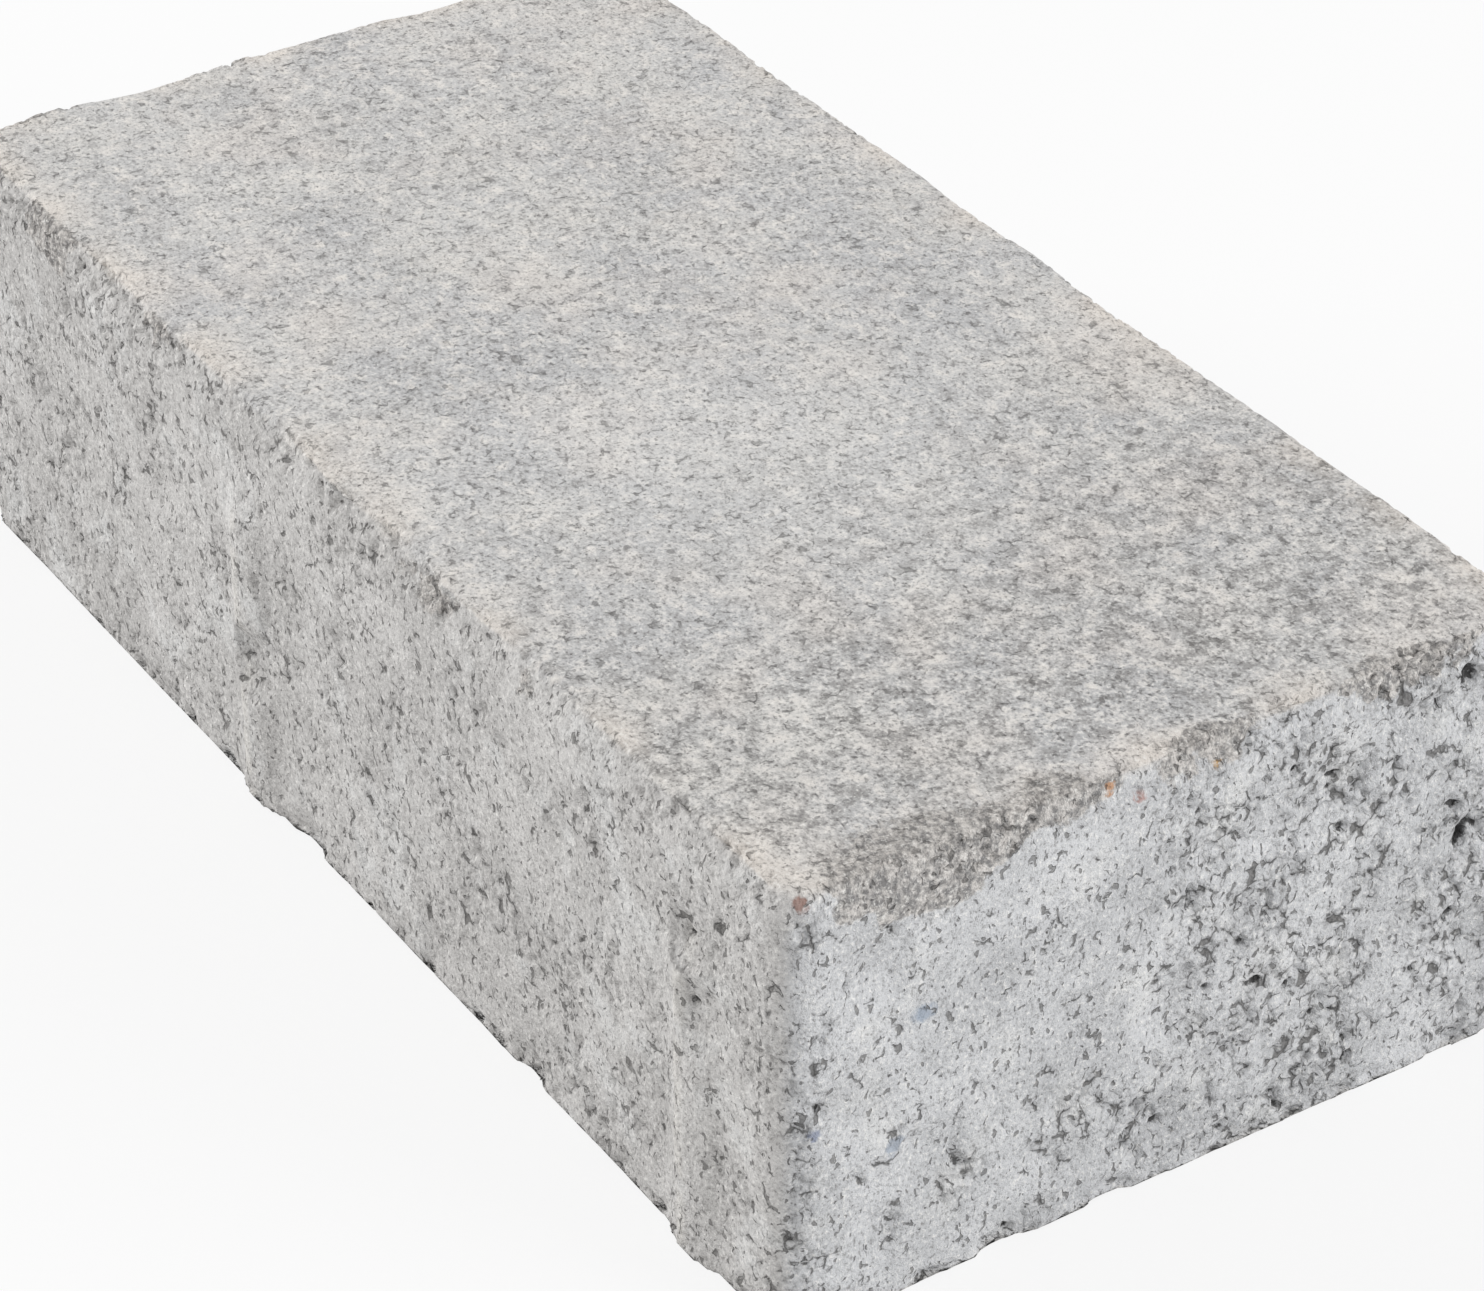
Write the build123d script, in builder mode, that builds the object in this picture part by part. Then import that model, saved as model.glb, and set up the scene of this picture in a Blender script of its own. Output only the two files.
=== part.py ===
from build123d import *
from math import atan2, degrees, pi, sin
import os

# Concrete paving stone with a worn, wavy top edge, cast in one piece.
# Millimetres: X along the long side, Z up, origin at the centre of the flat underside.

# Block
length = 200.0
width = 102.0
height = 58.0
corner_radius = 5.0

# Worn edge around the top face, rounded in flat steps
edge_drop = 4.0
edge_inset = 2.0
least_inset = 0.2
edge_steps = 4

# Waves of the worn edge: a slow one and a quick one along each side
slow_wave = 36.0
quick_wave = 25.0
wave_height = 0.55
points_per_wave = 5

# How far into its slow and quick wave each side starts, in radians, and how strong its waves are
front_waves = (-1.8, -2.85, 1.0)
right_waves = (1.5, 0.0, 0.5)
back_waves = (-0.76, -0.85, 0.4)
left_waves = (-2.0, 1.45, 1.8)

# Spacer ribs on both long sides: shallow domes that keep the joint open
rib_width = 11.0
rib_proud = 1.2
rib_spacing = 101.0
rib_shift = 31.3
rib_drop = 10.0
rib_runout = 9.0

# Hollows of the coarse mix, bowls in the sides: each one's place along its side and up it,
# as shares of half the side's length and of the height, then its width and depth.
# They are those of the long side with the near rib and of the end beside it,
# and the two hidden sides repeat them.
long_bowls = (
    (0.81, 0.74, 7.0, 1.2),
    (0.86, 0.60, 8.0, 0.9),
    (0.55, 0.68, 8.0, 0.7),
    (0.50, 0.27, 9.0, 0.7),
    (0.46, 0.03, 7.0, 1.0),
    (0.25, 0.08, 8.0, 0.7),
    (0.06, 0.62, 10.0, 0.7),
    (-0.07, 0.02, 8.0, 0.9),
    (-0.18, 0.36, 8.0, 0.9),
    (-0.42, 0.58, 8.0, 0.8),
    (-0.52, 0.20, 9.0, 0.7),
    (-0.76, 0.50, 9.0, 0.7),
)
end_bowls = (
    (0.40, 0.76, 13.0, 1.2),
    (0.62, 0.85, 7.0, 1.0),
    (0.78, 0.86, 9.0, 1.1),
    (0.82, 0.52, 9.0, 1.4),
    (0.84, 0.29, 8.0, 1.0),
    (0.78, 0.07, 9.0, 0.9),
    (0.58, 0.37, 10.0, 0.9),
    (0.32, 0.09, 10.0, 0.9),
    (0.18, 0.57, 8.0, 0.8),
    (0.07, 0.73, 8.0, 0.9),
    (-0.01, 0.42, 11.0, 1.1),
    (-0.01, 0.14, 9.0, 1.2),
    (-0.15, 0.01, 6.0, 0.8),
    (-0.27, 0.48, 9.0, 0.8),
    (-0.43, 0.03, 8.0, 0.9),
    (-0.51, 0.67, 9.0, 0.9),
    (-0.63, 0.31, 10.0, 0.9),
    (-0.77, 0.78, 10.0, 1.1),
    (-0.77, 0.18, 8.0, 0.8),
)

half_length = length / 2
half_width = width / 2
shoulder = height - edge_drop
rib_top = height - rib_drop

# A rib is the part of an upright cylinder that stands out of the wall.
rib_radius = (rib_width**2 / 4 + rib_proud**2) / (2 * rib_proud)
rib_axis_y = half_width + rib_proud - rib_radius
rib_taper = degrees(atan2(rib_proud, rib_runout))

# The four sides, anticlockwise from the front: half the side's own length,
# its distance from the middle, its waves, its bowls, and the angle that it is turned by
sides = (
    (half_length, half_width, front_waves, long_bowls, 0),
    (half_width, half_length, right_waves, end_bowls, 90),
    (half_length, half_width, back_waves, long_bowls, 180),
    (half_width, half_length, left_waves, end_bowls, 270),
)


def edge_wave(along, waves):
    """How far the worn edge leaves its mean line, at a place along one side."""
    slow_start, quick_start, strength = waves
    slow = sin(2 * pi * along / slow_wave + slow_start)
    quick = sin(2 * pi * along / quick_wave + quick_start)
    return strength * wave_height * (slow + quick)


def worn_side(half_side, half_across, waves, turn, wear):
    """One side of an outline, made along X at the front and then turned.

    Wear runs from 0 at the straight body to 1 at the top face."""
    run = half_side - wear * edge_inset - corner_radius
    count = max(4, round(2 * run / quick_wave * points_per_wave))
    points = []
    for step in range(count + 1):
        along = run * (2 * step / count - 1)
        fade = sin(pi * step / count) ** 0.5
        inset = max(least_inset, edge_inset + fade * edge_wave(along, waves))
        points.append(Vector(along, wear * inset - half_across, 0).rotate(Axis.Z, turn))
    if wear == 0:
        return Line(points[0], points[-1])
    ahead = Vector(1, 0, 0).rotate(Axis.Z, turn)
    return Spline(*points, tangents=(ahead, ahead))


with BuildPart() as paving_stone:
    # Worn edge: outlines that lean in from the straight body to the wavy rim of the top face
    for step in range(edge_steps + 1):
        wear = step / edge_steps
        with BuildSketch(Plane.XY.offset(shoulder + edge_drop * sin(pi / 2 * wear))):
            with BuildLine():
                for half_side, half_across, waves, bowls, turn in sides:
                    side = worn_side(half_side, half_across, waves, turn, wear)
                    JernArc(side @ 1, side % 1, corner_radius, 90)
            make_face()
    loft(ruled=True)

    # Straight body, from the shoulder of the worn edge down to the underside
    with BuildSketch(Plane.XY):
        RectangleRounded(length, width, corner_radius)
    extrude(amount=shoulder)

    # Spacer ribs: an upright cylinder in the wall, and a cone where it runs out below the top
    rib_places = [
        (side * (rib_shift + place * rib_spacing), -side * rib_axis_y)
        for side in (1, -1)
        for place in (-0.5, 0.5)
    ]
    with BuildSketch(Plane.XY):
        with Locations(*rib_places):
            Circle(rib_radius)
    extrude(amount=rib_top - rib_runout)
    with BuildSketch(Plane.XY.offset(rib_top - rib_runout)):
        with Locations(*rib_places):
            Circle(rib_radius)
    extrude(amount=rib_runout, taper=rib_taper)

    # Hollows: each is a cap of a ball whose middle stands outside the wall
    for half_side, half_across, waves, bowls, turn in sides:
        for along_share, up_share, bowl_width, bowl_depth in bowls:
            ball_radius = (bowl_width**2 / 4 + bowl_depth**2) / (2 * bowl_depth)
            away = half_across - bowl_depth + ball_radius
            middle = Location((along_share * half_side, -away, up_share * height))
            with Locations(Rotation(0, 0, turn) * middle):
                Sphere(ball_radius, mode=Mode.SUBTRACT)

paving_stone.part.label = "paving_stone"

os.makedirs("parts", exist_ok=True)
export_step(paving_stone.part, "parts/paving_stone.step")
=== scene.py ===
from itertools import product
from math import cos, radians, sin

import bpy
import numpy as np
from mathutils import Matrix, Vector


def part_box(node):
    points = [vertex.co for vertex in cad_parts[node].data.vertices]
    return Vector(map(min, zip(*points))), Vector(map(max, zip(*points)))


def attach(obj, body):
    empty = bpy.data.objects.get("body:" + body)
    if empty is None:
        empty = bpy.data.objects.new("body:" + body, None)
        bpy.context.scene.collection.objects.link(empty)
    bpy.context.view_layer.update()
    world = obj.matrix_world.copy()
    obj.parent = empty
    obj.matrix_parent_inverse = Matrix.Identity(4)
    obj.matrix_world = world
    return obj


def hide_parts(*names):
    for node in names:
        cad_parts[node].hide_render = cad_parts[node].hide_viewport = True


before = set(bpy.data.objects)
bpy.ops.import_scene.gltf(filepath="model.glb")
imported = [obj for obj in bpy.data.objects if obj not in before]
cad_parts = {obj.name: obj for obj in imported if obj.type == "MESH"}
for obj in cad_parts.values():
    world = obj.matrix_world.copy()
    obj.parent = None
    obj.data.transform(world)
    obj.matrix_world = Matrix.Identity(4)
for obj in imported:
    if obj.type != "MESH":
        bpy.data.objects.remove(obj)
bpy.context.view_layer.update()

# Lengths are in millimetres up to the finished mesh, which is in metres as the frame is.
MM = 0.001
STONE = "paving_stone"

# The stone's box takes in the ribs, which stand this far out of the long sides.
rib_proud = 1.2
stone_low, stone_high = (np.array(corner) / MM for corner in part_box(STONE))
half_length = stone_high[0]
half_width = stone_high[1] - rib_proud
height = stone_high[2]

# Planes of the long side and the short side that the photograph shows
front_y = -half_width
end_x = half_length

# The skin is made fine and even, carved, and then thinned to the triangles that it may have.
skin_spacing = 0.4
skin_triangles = 190000

# Wear of the top edge: how far it reaches down the sides and into the top face
wear_down = 4.2
wear_in = 2.6

# How far up a side its crumbled foot reaches, and how far down one the top edge can change it
foot_height = 2.4
edge_height = 16

# Where the skin counts as level or as a short side: the part of its normal that points that way,
# where it starts to count and where it counts fully
level_starts, level_full = 0.35, 0.8
end_starts, end_full = 0.5, 0.85

# Noise: cells along each side of the block that repeats, the gain that brings it to about -1 to 1,
# and what is added to a seed for a second draw
noise_cells = 48
noise_gain = 1.7
second_draw = 1000

# Packed grains: the least radius of one as a share of the space between their middles
least_grain = 0.62

# The top face: the middle of its palest area with the distances at which that fades, where along it
# a stain starts, is full, fades and ends, and how far in from the edge the pale rim is full and ends
pale_middle = (25, -8, height)
pale_full, pale_ends = 12, 42
stain_starts, stain_full, stain_fades, stain_ends = 10, 85, 88, 98
rim_full, rim_ends = 2.0, 7.0

# The band under the top edge: its mean reach down a side, how many times shorter it is on the face,
# and how near to the short sides it isn't shorter there
band_reach = 0.8
band_on_face = 2.5
band_end = 12

# The short side, by places across it along Y: where its calm area is full and where it ends, to both
# sides, and where its coarse area starts and is full. Up it, the calm area grows from low to high.
calm_full, calm_ends = -14, 2
calm_corner_full, calm_corner_ends = -40, -50
calm_low, calm_high = 18, 36
coarse_starts, coarse_full = -12, 10

# Holes that the photograph shows: on the long side each (x, z, radius), and on the short side
# each (y, z, radius)
front_holes = (
    (80.8, 43, 1.5), (85, 36.5, 1.1), (82.5, 35, 0.9), (46.4, 2.5, 1.2), (-18, 21.5, 0.9),
    (-16.7, 18.4, 0.8), (41.8, 45.4, 0.7), (55.4, 40.7, 0.6), (25, 6, 0.8), (27, 4, 0.7),
    (52, 15.7, 0.7), (-41.8, 34, 0.8),
)
end_holes = (
    (41.3, 30.2, 2.1), (21.2, 45, 1.6), (39.5, 52.4, 1.7), (-0.6, 7.5, 1.3), (0, 24, 1.1),
    (35.2, 50.8, 1.0), (14, 8, 0.9), (-42.8, 44.8, 1.0), (31.2, 49.7, 1.0), (38.9, 35.4, 0.9),
    (3.6, 42.5, 0.8), (14.9, 49.9, 0.8), (39.6, 20, 0.9), (-37, 44, 0.8), (-37.7, 50, 0.8),
    (-21, 1.5, 1.0), (26.8, 22.5, 0.9), (27.2, 30.9, 0.8), (4.4, 24.3, 0.8), (22.5, 39.1, 0.8),
    (-26.4, 39.3, 0.7), (44, 16.4, 0.8), (7.5, 39.8, 0.7),
)

# The crest lines of the front ribs, along X. The back ribs are these turned half round. Each
# gets a painted highlight over a narrow strip, which ends below the top.
rib_crests = (-20.4, 80.6)
crest_full, crest_ends = 0.5, 1.3
crest_top_full, crest_top_ends = 38, 46

# Places where the face mix reaches further down: on the long side each (x, spread, how much further),
# and on the short side each (y, spread, how much further)
front_patches = ((-72, 11, 4.5), (-40, 8, 2.5), (-20, 7, 2.0), (22, 12, 3.5), (48, 6, 2.0), (70, 6, 1.5))
end_patches = ((-33, 14, 7.0), (-14, 9, 2.5), (3, 9, 2.0), (30, 12, 2.0))

# Coloured grains that the photograph shows, each (x, y, z, radius, colour)
stray_grains = (
    (end_x, 4.5, 55.2, 0.8, (214, 166, 92)),
    (end_x - 1.2, -9.5, 56.6, 0.7, (196, 148, 110)),
    (end_x, -6.3, 54.5, 0.9, (186, 134, 122)),
    (end_x - 2, -48, 56.8, 0.9, (150, 110, 96)),
    (end_x, -33.5, 37.5, 1.5, (150, 162, 178)),
    (end_x, -37.0, 21.0, 1.2, (158, 168, 182)),
    (end_x, -47.5, 27.0, 0.9, (140, 148, 170)),
)


# Noise that is the same on every run

def lattice(seed, values):
    """A block of cells that repeats, each with that many random numbers between 0 and 1."""
    return np.random.default_rng(seed).random((noise_cells, noise_cells, noise_cells, values))


def smooth(low, high, value):
    """0 before low and 1 past high, with a smooth rise between. Low may be the larger of the two."""
    t = np.clip((value - low) / (high - low), 0, 1)
    return t * t * (3 - 2 * t)


def waves(points, size, seed):
    """Gradient noise, about -1 to 1. Size is the width of its bumps, one number or one for each axis."""
    slopes = lattice(seed, 3) * 2 - 1
    slopes /= np.linalg.norm(slopes, axis=-1, keepdims=True)
    place = points / np.asarray(size, float)
    cell = np.floor(place).astype(int)
    within = place - cell
    blend = within**3 * (within * (within * 6 - 15) + 10)
    total = np.zeros(len(points))
    for corner in product((0, 1), repeat=3):
        corner = np.array(corner)
        spot = (cell + corner) % len(slopes)
        slope = slopes[spot[:, 0], spot[:, 1], spot[:, 2]]
        weight = np.prod(np.where(corner, blend, 1 - blend), axis=1)
        total += weight * np.sum(slope * (within - corner), axis=1)
    return total * noise_gain


def layered(points, size, seed, layers=3, fall=0.5):
    """Noise with finer and fainter layers on top of each other."""
    total = np.zeros(len(points))
    for layer in range(layers):
        total += fall**layer * waves(points, np.asarray(size, float) / 2**layer, seed + layer)
    return total


def neighbours(points, size, seed):
    """For each of the 27 cells round each point: how far its random spot lies, and two random numbers."""
    spots = lattice(seed, 3)
    marks = lattice(seed + second_draw, 2)
    place = points / np.asarray(size, float)
    cell = np.floor(place).astype(int)
    for shift in product((-1, 0, 1), repeat=3):
        near = cell + np.array(shift)
        spot = near % len(spots)
        index = spot[:, 0], spot[:, 1], spot[:, 2]
        apart = np.linalg.norm((near + spots[index] - place) * size, axis=1)
        yield apart, marks[index]


def grain_marks(points, size, seed):
    """The random number that each point's nearest grain has."""
    nearest = np.full(len(points), np.inf)
    own = np.zeros(len(points))
    for apart, marks in neighbours(points, size, seed):
        closer = apart < nearest
        nearest[closer] = apart[closer]
        own[closer] = marks[closer, 0]
    return own


def balls(points, size, least, most, seed, share=1.0):
    """Depth at each point of round pits, or height of round domes, with radii from least to most.

    Share is how many of the cells have one."""
    depth = np.zeros(len(points))
    for apart, marks in neighbours(points, size, seed):
        radius = least + (most - least) * marks[:, 1] ** 2
        inside = np.sqrt(np.clip(radius**2 - apart**2, 0, None))
        depth = np.maximum(depth, np.where(marks[:, 0] < share, inside, 0))
    return depth


def gaps(points, size, seed, top=0.5):
    """Narrow crevices between packed grains about size wide: 0 on their flat tops, 1 at the bottom.

    Top is how high the flat tops lie, in grain sizes."""
    return np.clip(1 - balls(points, size, least_grain * size, size, seed) / (top * size), 0, 1)


# The stone's skin

def mesh_arrays(mesh):
    """The points of a mesh in millimetres, and the normals there."""
    points = np.empty(len(mesh.vertices) * 3, np.float32)
    mesh.vertices.foreach_get("co", points)
    normals = np.empty(len(mesh.vertices) * 3, np.float32)
    mesh.vertex_normals.foreach_get("vector", normals)
    return points.reshape(-1, 3).astype(float) / MM, normals.reshape(-1, 3).astype(float)


def applied(shape, name):
    """The mesh of an object with its modifiers applied. The object itself goes."""
    bpy.context.view_layer.update()
    seen = shape.evaluated_get(bpy.context.evaluated_depsgraph_get())
    mesh = bpy.data.meshes.new_from_object(seen)
    mesh.name = name
    bpy.data.objects.remove(shape)
    return mesh


def even_skin():
    """A fine and even mesh over the CAD stone."""
    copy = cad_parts[STONE].copy()
    copy.data = copy.data.copy()
    bpy.context.scene.collection.objects.link(copy)
    copy.hide_viewport = False
    even = copy.modifiers.new("Even", "REMESH")
    even.mode = "VOXEL"
    even.voxel_size = skin_spacing * MM
    return applied(copy, "stone_skin")


def face_relief(points):
    """The fine top face: depth under the CAD stone, how hollow it is, and how open between its grains."""
    swell = 0.14 * (1 + waves(points, 26, 41)) + 0.05 * (1 + waves(points, 8, 42))
    pore = balls(points, size=9.0, least=0.3, most=0.7, seed=69, share=0.3)
    return swell + pore, pore, smooth(-0.6, 0.6, waves(points, 12, 44))


def side_relief(points):
    """A long side, drawn against the mould: low grains smeared with paste, and open in places."""
    swell = 0.10 * (1 + waves(points, 15, 32)) + 0.04 * (1 + waves(points, (3.0, 3.0, 12.0), 31))
    open_share = smooth(-0.3, 0.5, waves(points, 9, 34) + 0.4 * waves(points, 4, 36))
    hole = smooth(0.5, 0.85, layered(points, 2.2, 35, 2, 0.6))
    hollow = (0.1 + 0.3 * open_share) * gaps(points, 1.6, 37) + (0.25 + 0.35 * open_share) * hole
    return swell + hollow, hollow, 0.1 + 0.55 * open_share


def end_relief(points):
    """A short side: coated round grains with open gaps, smeared over with paste in places."""
    x, y, z = points.T
    turned = y * np.sign(x)
    calm = smooth(calm_ends, calm_full, turned) * smooth(calm_corner_ends, calm_corner_full, turned)
    calm *= 0.35 + 0.45 * smooth(calm_low, calm_high, z)
    coarse = smooth(coarse_starts, coarse_full, turned) * smooth(-0.5, 0.3, waves(points, 16, 20))
    smear = smooth(-0.3, 0.4, waves(points, 9, 11) + 0.6 * waves(points, 4, 12) + calm - 0.2 * coarse)
    swell = 0.12 * (1 + waves(points, 13, 23))
    lumps = 0.35 * coarse * gaps(points, 4.2, 27, 0.7)
    hole = smooth(0.52, 0.8, waves(points, 3.0, 25) + 0.4 * waves(points, 1.4, 28))
    hollow = (0.6 * gaps(points, 2.0, 21) + 0.3 * gaps(points, 1.3, 26)) * (1 - 0.8 * smear)
    hollow += 0.9 * hole * (1 - 0.7 * smear)
    return swell + lumps + hollow, hollow + 0.3 * lumps, 1 - smear


def bed_relief(points):
    """The underside: flat, with open pores."""
    hollow = 0.8 * balls(points, size=8.0, least=0.6, most=1.4, seed=52, share=0.5)
    return hollow + 0.1 * (1 + waves(points, 18, 53)), hollow, np.ones(len(points))


def from_rim(points):
    """How far down from the top face each point lies, and how far in from the nearest side."""
    x, y, z = points.T
    inward = np.minimum(half_width - np.abs(y), half_length - np.abs(x))
    return height - z, np.clip(inward, 0, None)


def crumbled_foot(points, upright):
    """Depth of what the bottom edge has lost, in places along it."""
    bitten = smooth(-0.1, 0.5, layered(points, 5.0, 61, 2)) + 0.3 * gaps(points, 2.0, 63)
    return upright * smooth(foot_height, 0, points[:, 2]) * bitten


def broken_edge(points):
    """The top edge, where grains are missing: the depth that it has lost, and how hollow it is."""
    below, inward = from_rim(points)
    reach = np.hypot(below / wear_down, inward / wear_in)
    ragged = 0.30 * waves(points, 9, 1) + 0.22 * layered(points, 3.2, 2)
    worn = smooth(1.12, 0.85, reach + ragged)
    gap = gaps(points, 1.5, 6)
    strength = 0.3 + 0.7 * smooth(-0.3, 0.4, waves(points, 20, 8))
    lost = worn * strength * (0.1 + 0.25 * grain_marks(points, 1.7, 5) + 0.7 * gap)
    return lost, 0.6 * worn * strength * gap


def face_mix(points):
    """Where the face mix shows: a darker ragged band over the top edge and down the sides."""
    below, inward = from_rim(points)
    band = band_reach + 1.6 * waves(points, 16, 13)
    ragged = 0.2 * waves(points, 3, 15)
    patches = [(along, front_y, spread, extra) for along, spread, extra in front_patches]
    patches += [(end_x, along, spread, extra) for along, spread, extra in end_patches]
    for *middle, spread, extra in patches:
        apart = np.linalg.norm(points[:, :2] - middle, axis=1) / spread
        band += extra * smooth(1.0, 0.4, apart + ragged)
    torn = layered(points, 5, 14) + 0.8 * waves(points, 1.6, 18)
    near_end = np.abs(points[:, 0]) > half_length - band_end
    onto_face = np.where(near_end, 1, band_on_face) * inward
    return smooth(0.9, -0.9, below + onto_face - band + torn)


def pale_rim(points, up):
    """Where the top face is paler: in patches along its rim."""
    inward = from_rim(points)[1]
    patchy = smooth(-0.4, 0.4, waves(points, 12, 19))
    return up * patchy * smooth(rim_ends, rim_full, inward + 1.8 * layered(points, 5, 16))


def highlit_crests(points, long_side):
    """The outermost line of each spacer rib, which stays whole and gets a painted highlight."""
    x, y, z = points.T
    turned = x * -np.sign(y)
    swerve = 0.5 * waves(points, 6, 66)
    below_top = smooth(crest_top_ends, crest_top_full, z + 5 * waves(points, 7, 64))
    crest = np.zeros(len(points))
    for place_x in rib_crests:
        off_line = np.abs(turned - place_x + swerve)
        crest = np.maximum(crest, smooth(crest_ends, crest_full, off_line) * below_top)
    return crest * (long_side * smooth(-0.5, 0.1, waves(points, 4, 65)))


def photo_holes(points):
    """Depth of the ragged holes that the photograph shows."""
    holes = [(along, front_y, up_side, radius) for along, up_side, radius in front_holes]
    holes += [(end_x, along, up_side, radius) for along, up_side, radius in end_holes]
    ragged = 0.35 * waves(points, 1.2, 17) + 0.45 * waves(points, 2.6, 18)
    depth = np.zeros(len(points))
    for *middle, radius in holes:
        apart = np.linalg.norm(points - middle, axis=1) / radius
        depth = np.maximum(depth, radius * smooth(1.15, 0.45, apart + ragged))
    return depth


def carve(points, normals):
    """How deep the surface lies under the CAD stone at each point, and the masks that colour it."""
    out_x, out_z = normals[:, 0], normals[:, 2]

    # Each kind of face carves the points that look its way
    up = smooth(level_starts, level_full, out_z)
    down = smooth(level_starts, level_full, -out_z)
    upright = 1 - up - down
    end = upright * smooth(end_starts, end_full, np.abs(out_x))
    sums = np.zeros((3, len(points)))
    kinds = ((up, face_relief), (upright - end, side_relief), (end, end_relief), (down, bed_relief))
    for share, relief in kinds:
        here = share > 0
        sums[:, here] += share[here] * np.array(relief(points[here]))
    depth, hollow, openness = sums

    # The bottom edge and the top edge change only the points near them
    foot = points[:, 2] < foot_height
    depth[foot] += crumbled_foot(points[foot], upright[foot])
    edge = height - points[:, 2] < edge_height
    lost, emptied = broken_edge(points[edge])
    depth[edge] += lost
    hollow[edge] += emptied
    layer, rim = np.zeros((2, len(points)))
    layer[edge] = face_mix(points[edge])
    rim[edge] = pale_rim(points[edge], up[edge])

    # The crest of each rib is hardly carved
    crest = highlit_crests(points, upright - end)
    depth *= 1 - 0.8 * crest
    hollow *= 1 - crest

    # The darkest places: the bottoms of deep gaps, and the holes of the photograph
    chosen = photo_holes(points)
    # The cavity mask is painted shade: it darkens the colour where these places lie in shadow
    cavity = np.maximum(np.clip((hollow - 0.5) / 0.9, 0, 0.6), 0.7 * smooth(0.15, 1.0, chosen))
    masks = {
        "up": up,
        "end": end,
        "layer": layer,
        "rim": rim,
        "open": openness,
        "cavity": cavity,
        "crest": crest,
    }
    return depth + chosen, masks


def make_stone():
    """The visible stone: the CAD stone's skin, carved and thinned."""
    mesh = even_skin()
    points, normals = mesh_arrays(mesh)
    depth, masks = carve(points, normals)
    points -= normals * depth[:, None]
    points = np.clip(points, stone_low, stone_high)
    mesh.vertices.foreach_set("co", (points * MM).ravel().astype(np.float32))
    for name, mask in masks.items():
        layer = mesh.attributes.new(name, "FLOAT", "POINT")
        layer.data.foreach_set("value", mask.astype(np.float32))
    mesh.update()
    shape = bpy.data.objects.new("stone_shape", mesh)
    bpy.context.scene.collection.objects.link(shape)
    thin = shape.modifiers.new("Thin", "DECIMATE")
    four_sided = len(mesh.polygons)
    thin.ratio = skin_triangles / (2 * four_sided)
    thin.use_collapse_triangulate = True
    mesh = applied(shape, "paving_stone_skin")
    mesh.shade_smooth()
    stone = bpy.data.objects.new("paving_stone_skin", mesh)
    bpy.context.scene.collection.objects.link(stone)
    return stone


# Materials

class Tree:
    """Short calls that add nodes to a material or a world and link them."""

    def __init__(self, owner):
        owner.use_nodes = True
        self.nodes = owner.node_tree.nodes
        self.links = owner.node_tree.links
        self.nodes.clear()

    def add(self, kind, inputs=(), **settings):
        """A node with its settings, and inputs given by name or number as values or sockets."""
        node = self.nodes.new(kind)
        for key, value in settings.items():
            setattr(node, key, value)
        for key, value in dict(inputs).items():
            if isinstance(value, bpy.types.NodeSocket):
                self.links.new(value, node.inputs[key])
            else:
                node.inputs[key].default_value = value
        return node

    def math(self, operation, first, second):
        """One sum on two values or sockets."""
        return self.add("ShaderNodeMath", {0: first, 1: second}, operation=operation).outputs[0]

    def scaled(self, vector, factor):
        """A vector times a number."""
        return self.add("ShaderNodeVectorMath", {0: vector, 3: factor}, operation="SCALE").outputs[0]

    def distance(self, place, middle):
        """How far each place lies from one point."""
        node = self.add("ShaderNodeVectorMath", {0: place, 1: middle}, operation="DISTANCE")
        return node.outputs["Value"]

    def noise(self, place, size, detail, rough):
        """Noise about 0.5, with bumps about size millimetres wide."""
        settings = {"Vector": place, "Scale": 1 / size, "Detail": detail, "Roughness": rough}
        return self.add("ShaderNodeTexNoise", settings).outputs["Fac"]

    def grains(self, place, size):
        """Distance from the middle of the nearest of packed grains, in grain sizes."""
        return self.add("ShaderNodeTexVoronoi", {"Vector": place, "Scale": 1 / size}).outputs["Distance"]

    def step(self, value, low, high, start=0.0, end=1.0):
        """value from low to high, mapped to start to end and held outside."""
        settings = {"Value": value, "From Min": low, "From Max": high, "To Min": start, "To Max": end}
        return self.add("ShaderNodeMapRange", settings, clamp=True).outputs["Result"]

    def mix(self, share, first, second):
        """Two colours mixed: 6 and 7 are the node's colour inputs, and 2 is its colour output."""
        return self.add("ShaderNodeMix", {0: share, 6: first, 7: second}, data_type="RGBA").outputs[2]

    def mix_values(self, share, first, second):
        """Two values mixed."""
        return self.add("ShaderNodeMix", {0: share, 2: first, 3: second}, data_type="FLOAT").outputs[0]

    def mask(self, name):
        """A mask that the mesh carries."""
        return self.add("ShaderNodeAttribute", attribute_name=name).outputs["Fac"]


def screen(red, green, blue):
    """A colour given as 0 to 255 screen values, made linear for a node."""
    value = np.array((red, green, blue)) / 255
    linear = np.where(value < 0.04045, value / 12.92, ((value + 0.055) / 1.055) ** 2.4)
    return (*linear, 1.0)


# Colours of the top face, of the walls, and of what lies on the grains of both, with painted shade
# between the grains and in the holes, and a painted highlight on the rib crests
face_cool = screen(197, 197, 198)
face_warm = screen(215, 213, 210)
face_blush = screen(216, 210, 205)
face_light = screen(236, 231, 225)
face_dark = screen(164, 162, 162)
face_stain = screen(140, 138, 136)
face_pale = screen(234, 233, 231)
face_rim = screen(234, 224, 213)
long_dark = screen(188, 186, 184)
long_light = screen(203, 201, 199)
short_dark = screen(189, 190, 192)
short_light = screen(208, 209, 211)
wall_pale = screen(219, 219, 218)
crest_highlight = screen(216, 213, 208)
band_dark = screen(114, 112, 111)
band_light = screen(208, 203, 198)
sand_light = screen(246, 244, 240)
sand_dark = screen(116, 113, 111)
hollow_shade = screen(140, 139, 138)
gap_shade = screen(88, 86, 84)
hole_shade = screen(62, 61, 61)
white = (1, 1, 1, 1)

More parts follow.
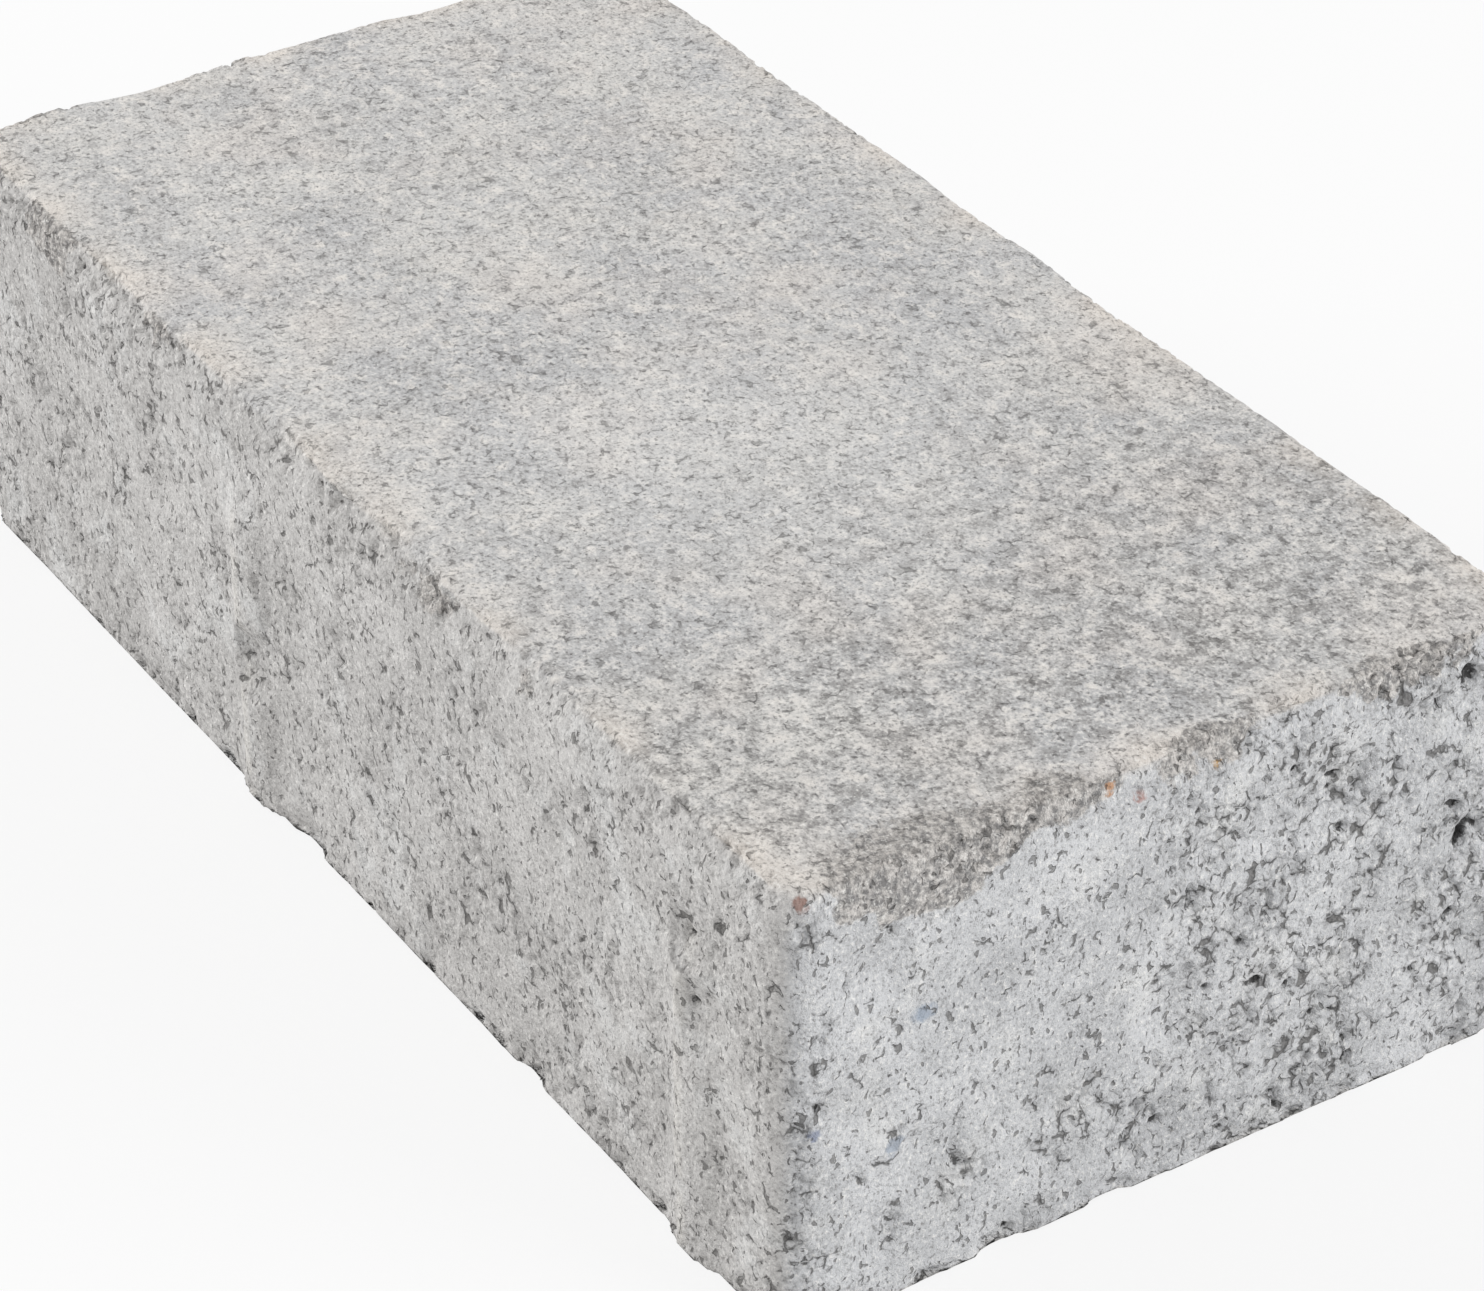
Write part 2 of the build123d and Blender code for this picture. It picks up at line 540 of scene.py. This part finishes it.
# Sizes in millimetres of what the material draws, how wide and how strong the bends in its packed
# grains are, and the height of its fine relief
cloud_size = 40
small_cloud = 12
blush_size = 17
wall_cloud = 14
smear_size = 9
mottle_size = 2.2
grit_size = 1.2
sand_size = 0.55
coarse_grain = 1.5
fine_grain = 0.9
bend_size = 1.25
bend_reach = 1.4
relief_height = 0.45


def face_colour(tree, place, mottle, rim):
    """The top face: cloudy, from bluish grey to cream, with a finer mottle, a stain and pale areas."""
    cloud = tree.math("ADD", tree.noise(place, cloud_size, 3, 0.5), tree.noise(place, small_cloud, 4, 0.6))
    face = tree.mix(tree.step(cloud, 0.8, 1.2), face_cool, face_warm)
    blush = tree.step(tree.noise(place, blush_size, 3, 0.6), 0.5, 0.68, 0, 0.6)
    face = tree.mix(blush, face, face_blush)
    face = tree.mix(tree.step(mottle, 0.52, 0.70, 0, 0.8), face, face_light)
    face = tree.mix(tree.step(mottle, 0.47, 0.28, 0, 0.8), face, face_dark)
    along = tree.add("ShaderNodeSeparateXYZ", {0: place}).outputs["X"]
    stained = tree.step(along, stain_starts, stain_full)
    stained = tree.math("MULTIPLY", stained, tree.step(along, stain_ends, stain_fades))
    stained = tree.math("MULTIPLY", stained, tree.step(mottle, 0.56, 0.38, 0.05, 0.6))
    face = tree.mix(stained, face, face_stain)
    pale = tree.step(tree.distance(place, pale_middle), pale_ends, pale_full, 0, 0.25)
    face = tree.mix(pale, face, face_pale)
    return tree.mix(tree.math("MULTIPLY", rim, 0.5), face, face_rim)


def wall_colour(tree, place, end, crest):
    """The sides: warm grey paste along the length, cooler grey at the ends, and pale smears. The cooler
    grey at the ends is partly their own concrete and partly a painted cool tint of the light on that side.
    """
    cloudy = tree.step(tree.noise(place, wall_cloud, 4, 0.6), 0.38, 0.62)
    long_side = tree.mix(cloudy, long_dark, long_light)
    short_side = tree.mix(cloudy, short_dark, short_light)
    wall = tree.mix(end, long_side, short_side)
    smeared = tree.step(tree.noise(place, smear_size, 3, 0.6), 0.54, 0.68, 0, 0.55)
    wall = tree.mix(smeared, wall, wall_pale)
    # Painted highlight: the rib crests are made lighter, as if lit
    return tree.mix(tree.math("MULTIPLY", crest, 0.7), wall, crest_highlight)


def grain_gaps(tree, coarse, fine, speck, mottle, up, openness):
    """Gaps between packed grains: small and few on the face, wider where the sides are open. It is the
    mask of their painted shade and of their bump.
    """
    wall_shut = tree.step(openness, 0.0, 1.0, 0.86, 0.74)
    wall_gap = tree.step(tree.math("SUBTRACT", coarse, wall_shut), 0.0, 0.10)
    fine_open = tree.math("ADD", fine, tree.step(openness, 0.1, 0.6, 0, 0.07))
    wall_gap = tree.math("MAXIMUM", wall_gap, tree.step(fine_open, 0.89, 0.97))
    wall_gap = tree.math("MAXIMUM", wall_gap, speck)
    face_gap = tree.math("MULTIPLY", tree.step(fine, 0.76, 0.90), tree.step(mottle, 0.62, 0.5, 0, 0.75))
    face_gap = tree.math("MAXIMUM", face_gap, tree.math("MULTIPLY", speck, 0.6))
    return tree.mix_values(up, wall_gap, face_gap)


def fine_relief(tree, coarse, sand, gap, openness):
    """The bump of the surface: domes of the grains where it is open, sand, and the gaps."""
    dome = tree.math("MULTIPLY", coarse, coarse)
    dome = tree.math("MULTIPLY", dome, tree.step(openness, 0, 1, 0.3, 1.6))
    relief = tree.math("SUBTRACT", tree.math("MULTIPLY", sand, 0.7), dome)
    relief = tree.math("SUBTRACT", relief, tree.math("MULTIPLY", gap, 0.6))
    bump = {"Height": relief, "Strength": 1.0, "Distance": relief_height * MM}
    return tree.add("ShaderNodeBump", bump).outputs[0]


def concrete():
    """Pressed concrete: a fine cloudy face, a dark gritty band under its edge, and open-pored sides."""
    material = bpy.data.materials.new("concrete")
    tree = Tree(material)
    up, end, layer, rim, crest = (tree.mask(name) for name in ("up", "end", "layer", "rim", "crest"))
    openness, cavity = tree.mask("open"), tree.mask("cavity")

    # The place on the stone in millimetres, the same bent a little, and that drawn out up and down
    place = tree.scaled(tree.add("ShaderNodeTexCoord").outputs["Object"], 1 / MM)
    bend = {"Vector": place, "Scale": 1 / bend_size, "Detail": 1.0}
    bend = tree.scaled(tree.add("ShaderNodeTexNoise", bend).outputs["Color"], bend_reach)
    bent = tree.add("ShaderNodeVectorMath", {0: place, 1: bend}, operation="ADD").outputs[0]
    drawn = tree.add("ShaderNodeVectorMath", {0: bent, 1: (1, 1, 0.6)}, operation="MULTIPLY").outputs[0]

    mottle = tree.noise(place, mottle_size, 3, 0.7)
    wall = wall_colour(tree, place, end, crest)
    face = face_colour(tree, place, mottle, rim)
    colour = tree.mix(up, wall, face)

    # The gritty band under the top edge, with a torn outline
    grit = tree.noise(place, grit_size, 3, 0.75)
    band = tree.mix(tree.step(grit, 0.4, 0.62), band_dark, band_light)
    torn = tree.step(tree.noise(place, fine_grain, 3, 0.7), 0.2, 0.8, -0.4, 0.4)
    layer = tree.step(tree.math("ADD", layer, torn), 0.3, 0.6, 0, 0.85)
    colour = tree.mix(layer, colour, band)

    # Sand, lighter and darker, and the coloured grains
    sand = tree.noise(place, sand_size, 2, 0.8)
    colour = tree.mix(tree.step(sand, 0.54, 0.72, 0, 0.65), colour, sand_light)
    colour = tree.mix(tree.step(sand, 0.46, 0.28, 0, 0.7), colour, sand_dark)
    uneven = tree.step(mottle, 0.4, 0.6, -0.4, 0.4)
    for *middle, radius, tint in stray_grains:
        apart = tree.math("ADD", tree.distance(place, middle), uneven)
        colour = tree.mix(tree.step(apart, radius * 1.2, radius * 0.6, 0, 0.75), colour, screen(*tint))

    # Shade low down between packed grains, less of it on the face
    coarse = tree.grains(bent, coarse_grain)
    fine = tree.grains(drawn, fine_grain)
    shade = tree.math("MULTIPLY", tree.step(coarse, 0.4, 0.85, 0, 0.3), openness)
    shade = tree.math("MULTIPLY", shade, tree.step(up, 0, 1, 1, 0.3))
    colour = tree.mix(shade, colour, hollow_shade)

    # Painted shade in the gaps between the grains and in the cavities
    speck = tree.step(tree.noise(drawn, fine_grain, 1, 0.5), 0.67, 0.71, 0, 0.9)
    gap = grain_gaps(tree, coarse, fine, speck, mottle, up, openness)
    colour = tree.mix(tree.math("MULTIPLY", gap, 0.7), colour, gap_shade)
    cavity = tree.step(tree.math("ADD", cavity, torn), 0.34, 0.58, 0, 0.9)
    colour = tree.mix(cavity, colour, hole_shade)

    bump = fine_relief(tree, coarse, sand, gap, openness)
    matt = {"Base Color": colour, "Roughness": 0.93, "Specular IOR Level": 0.25, "Normal": bump}
    shader = tree.add("ShaderNodeBsdfPrincipled", matt)
    tree.add("ShaderNodeOutputMaterial", {"Surface": shader.outputs[0]})
    return material


# Studio. Its lengths are in metres.

# Half the floor's length, its colour, and how much plain white the camera sees on it
floor_half = 4.0
floor_colour = (0.85, 0.85, 0.85, 1)
floor_glow = 0.8

# Light from all sides, and two soft lamps, each (name, azimuth, elevation, watts)
world_light = 0.58
softboxes = (("softbox_left", -50, 25, 16), ("softbox_right", 127, 25, 14))
softbox_far = 1.6
softbox_wide = 1.0


def floor_material():
    """Pale floor that the camera sees as near white, with the stone's shadow kept."""
    material = bpy.data.materials.new("pale_floor")
    tree = Tree(material)
    rays = tree.add("ShaderNodeLightPath").outputs
    seen = tree.math("MAXIMUM", rays["Is Camera Ray"], rays["Is Glossy Ray"])
    seen = tree.math("MAXIMUM", seen, rays["Is Transmission Ray"])
    matt = tree.add("ShaderNodeBsdfDiffuse", {"Color": floor_colour})
    glow = tree.add("ShaderNodeEmission", {"Color": white, "Strength": 1.0})
    share = tree.math("MULTIPLY", seen, floor_glow)
    both = tree.add("ShaderNodeMixShader", {0: share, 1: matt.outputs[0], 2: glow.outputs[0]})
    tree.add("ShaderNodeOutputMaterial", {"Surface": both.outputs[0]})
    return material


def add_floor():
    """One large flat floor under the stone."""
    mesh = bpy.data.meshes.new("floor")
    corners = [(x * floor_half, y * floor_half, 0) for x, y in ((-1, -1), (1, -1), (1, 1), (-1, 1))]
    mesh.from_pydata(corners, [], [(0, 1, 2, 3)])
    mesh.materials.append(floor_material())
    floor = bpy.data.objects.new("floor", mesh)
    bpy.context.scene.collection.objects.link(floor)


def direction(azimuth, elevation):
    """From the stone towards a place, by its azimuth (0 is the front, -Y) and elevation in degrees."""
    turn, rise = radians(azimuth), radians(elevation)
    return Vector((sin(turn) * cos(rise), -cos(turn) * cos(rise), sin(rise)))


def add_softbox(name, azimuth, elevation, power):
    """A large soft lamp that faces the stone."""
    lamp = bpy.data.lights.new(name, "AREA")
    lamp.shape = "SQUARE"
    lamp.size = softbox_wide
    lamp.energy = power
    box = bpy.data.objects.new(name, lamp)
    away = direction(azimuth, elevation)
    box.location = away * softbox_far
    box.rotation_euler = away.to_track_quat("Z", "Y").to_euler()
    bpy.context.scene.collection.objects.link(box)


def add_world():
    """Even light from all sides, with a white background."""
    world = bpy.data.worlds.new("studio")
    bpy.context.scene.world = world
    tree = Tree(world)
    rays = tree.add("ShaderNodeLightPath").outputs
    seen = tree.math("MAXIMUM", rays["Is Camera Ray"], rays["Is Glossy Ray"])
    light = tree.add("ShaderNodeBackground", {"Color": white, "Strength": world_light})
    shown = tree.add("ShaderNodeBackground", {"Color": white, "Strength": 1.0})
    both = tree.add("ShaderNodeMixShader", {0: seen, 1: light.outputs[0], 2: shown.outputs[0]})
    tree.add("ShaderNodeOutputWorld", {"Surface": both.outputs[0]})


# The photograph's camera: where it stands, how far the middle of its view passes from the origin
# in millimetres, and how long its lens is in the photograph's pixels
camera_azimuth = 57.36
camera_elevation = 34.01
camera_roll = -0.19
camera_distance = 589.3
middle_right = -6.77
middle_down = 12.52
lens_pixels = 4626
photo_width = 1484
sensor_width = 36.0
nearest_seen = 0.01


def add_camera():
    """The camera at the photograph's viewing angle, with the photograph's crop."""
    lens = bpy.data.cameras.new("camera")
    lens.sensor_fit = "HORIZONTAL"
    lens.sensor_width = sensor_width
    lens.lens = lens_pixels / photo_width * sensor_width
    lens.clip_start = nearest_seen
    camera = bpy.data.objects.new("camera", lens)
    back = direction(camera_azimuth, camera_elevation)
    level_right = Vector((0, 0, 1)).cross(back).normalized()
    level_up = back.cross(level_right)
    roll = radians(camera_roll)
    right = level_right * cos(roll) + level_up * sin(roll)
    up = level_up * cos(roll) - level_right * sin(roll)
    place = back * camera_distance - right * middle_right + up * middle_down
    turned = Matrix((right, up, back)).transposed().to_4x4()
    camera.matrix_world = Matrix.Translation(place * MM) @ turned
    bpy.context.scene.collection.objects.link(camera)
    bpy.context.scene.camera = camera


bpy.context.scene.view_settings.view_transform = "Standard"

stone = make_stone()
stone.data.materials.clear()
stone.data.materials.append(concrete())
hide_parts(STONE)
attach(stone, "root")

add_floor()
add_world()
for softbox in softboxes:
    add_softbox(*softbox)
add_camera()
